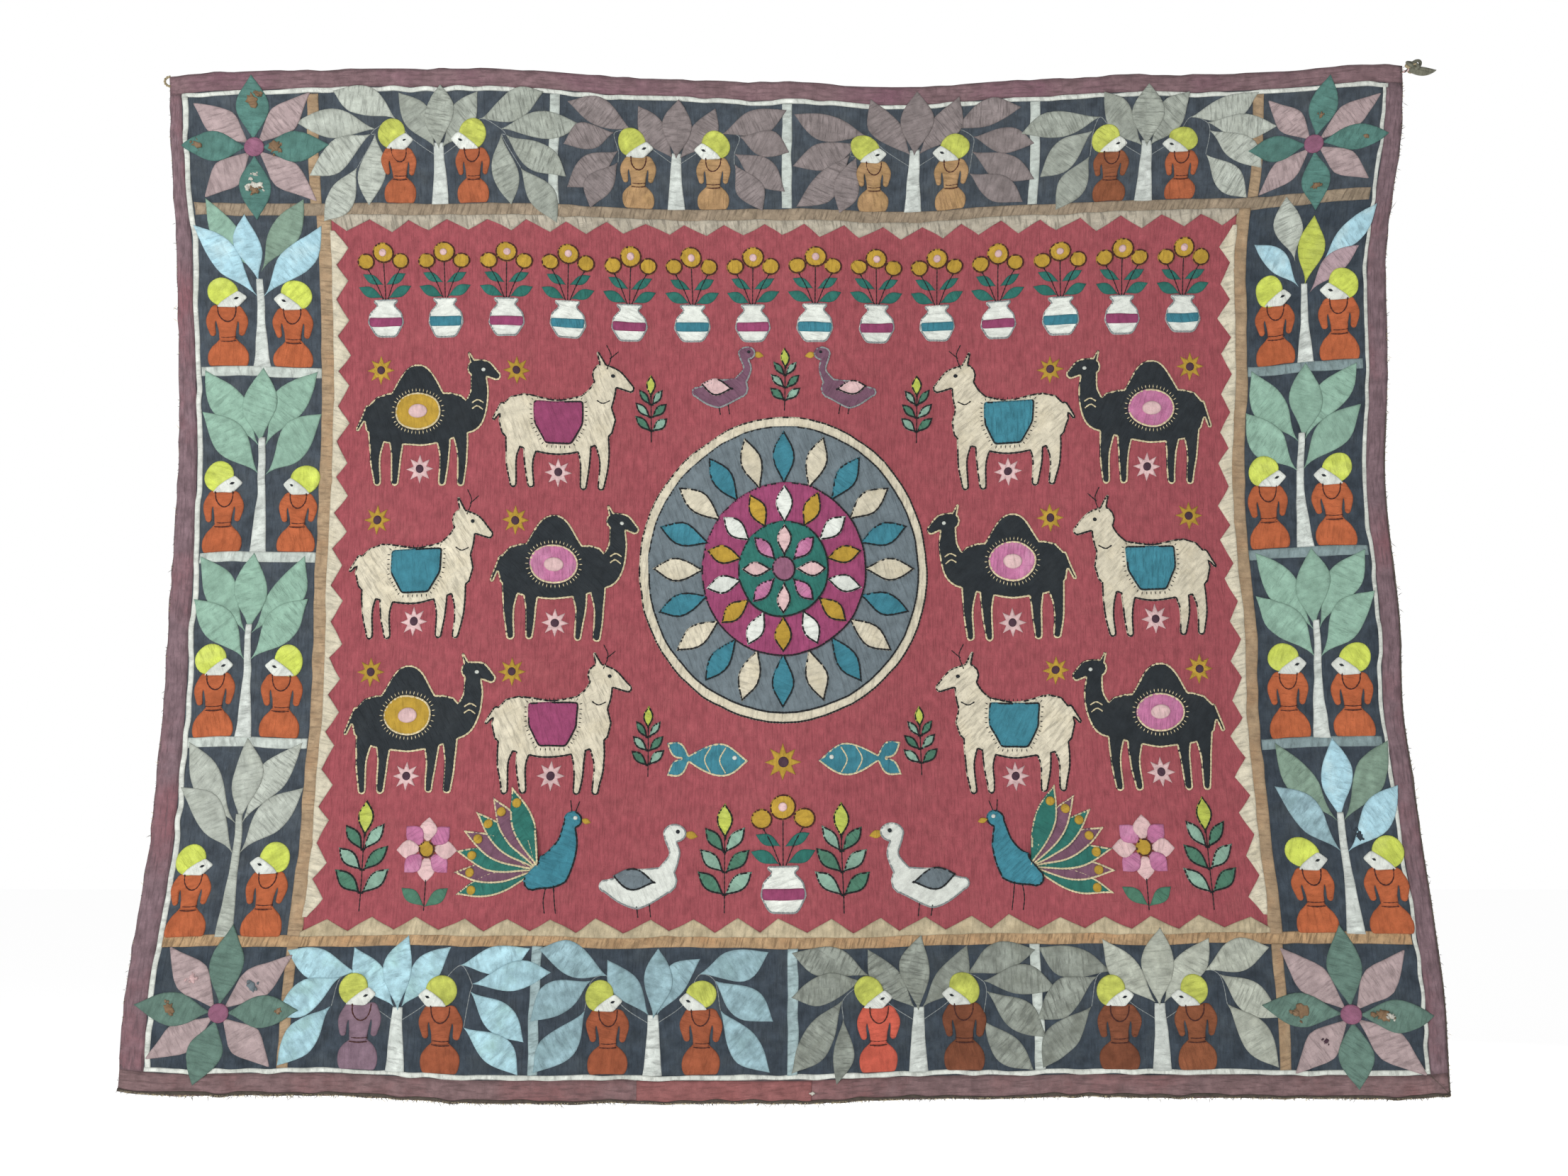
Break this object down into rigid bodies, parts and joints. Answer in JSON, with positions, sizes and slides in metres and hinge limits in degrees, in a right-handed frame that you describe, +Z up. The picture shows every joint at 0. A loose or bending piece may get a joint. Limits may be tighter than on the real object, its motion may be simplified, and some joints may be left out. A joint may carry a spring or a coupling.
{
  "type": "shrine cloth",
  "caption": "Sewn cotton cloth that hangs by its top corners: a red field in a panelled border of leafy trees and corner flowers, with sawtooth edging, bound edges, a loop and a tie.",
  "frame": {"origin": "middle of the cloth's top edge, from which it hangs", "axes": "+X to the viewer's right along the top edge, +Y away from the viewer, +Z up"},
  "size_m": [1.6886, 0.0266, 1.3496],
  "materials": {
    "binding_mauve": "matte",
    "piping_white": "matte",
    "border_navy": "matte",
    "tape_tan": "matte",
    "edging_cream": "matte",
    "field_red": "matte",
    "bar_white": "matte",
    "bar_blue": "matte",
    "leaf_sage": "matte",
    "leaf_blue": "matte",
    "leaf_grey": "matte",
    "leaf_mauve": "matte",
    "petal_teal": "matte",
    "cord_beige": "matte"
  },
  "bodies": {
    "root": {"bar_bottom_1": "bar_white", "bar_bottom_2": "bar_white", "bar_bottom_3": "bar_white", "bar_left_1": "bar_white", "bar_left_2": "bar_white", "bar_left_3": "bar_white", "bar_right_1": "bar_blue", "bar_right_2": "bar_blue", "bar_right_3": "bar_blue", "bar_top_1": "bar_white", "bar_top_2": "bar_white", "bar_top_3": "bar_white", "binding_bottom": "binding_mauve", "binding_left": "binding_mauve", "binding_right": "binding_mauve", "binding_top": "binding_mauve", "border_bottom": "border_navy", "border_left": "border_navy", "border_right": "border_navy", "border_top": "border_navy", "field": "field_red", "flower_bottom_left": "petal_teal", "flower_bottom_right": "petal_teal", "flower_top_left": "petal_teal", "flower_top_right": "petal_teal", "loop_left": "cord_beige", "piping_bottom": "piping_white", "piping_left": "piping_white", "piping_right": "piping_white", "piping_top": "piping_white", "sawtooth_bottom": "edging_cream", "sawtooth_left": "edging_cream", "sawtooth_right": "edging_cream", "sawtooth_top": "edging_cream", "tape_bottom": "tape_tan", "tape_corner_bottom_left": "tape_tan", "tape_corner_bottom_right": "tape_tan", "tape_corner_top_left": "tape_tan", "tape_corner_top_right": "tape_tan", "tape_left": "tape_tan", "tape_right": "tape_tan", "tape_top": "tape_tan", "tie_right": "cord_beige", "tree_bottom_1": "leaf_blue", "tree_bottom_2": "leaf_blue", "tree_bottom_3": "leaf_grey", "tree_bottom_4": "leaf_grey", "tree_left_1": "leaf_blue", "tree_left_2": "leaf_sage", "tree_left_3": "leaf_sage", "tree_left_4": "leaf_grey", "tree_right_1": "leaf_blue", "tree_right_2": "leaf_sage", "tree_right_3": "leaf_sage", "tree_right_4": "leaf_sage", "tree_top_1": "leaf_grey", "tree_top_2": "leaf_mauve", "tree_top_3": "leaf_mauve", "tree_top_4": "leaf_grey"}
  },
  "joints": []
}
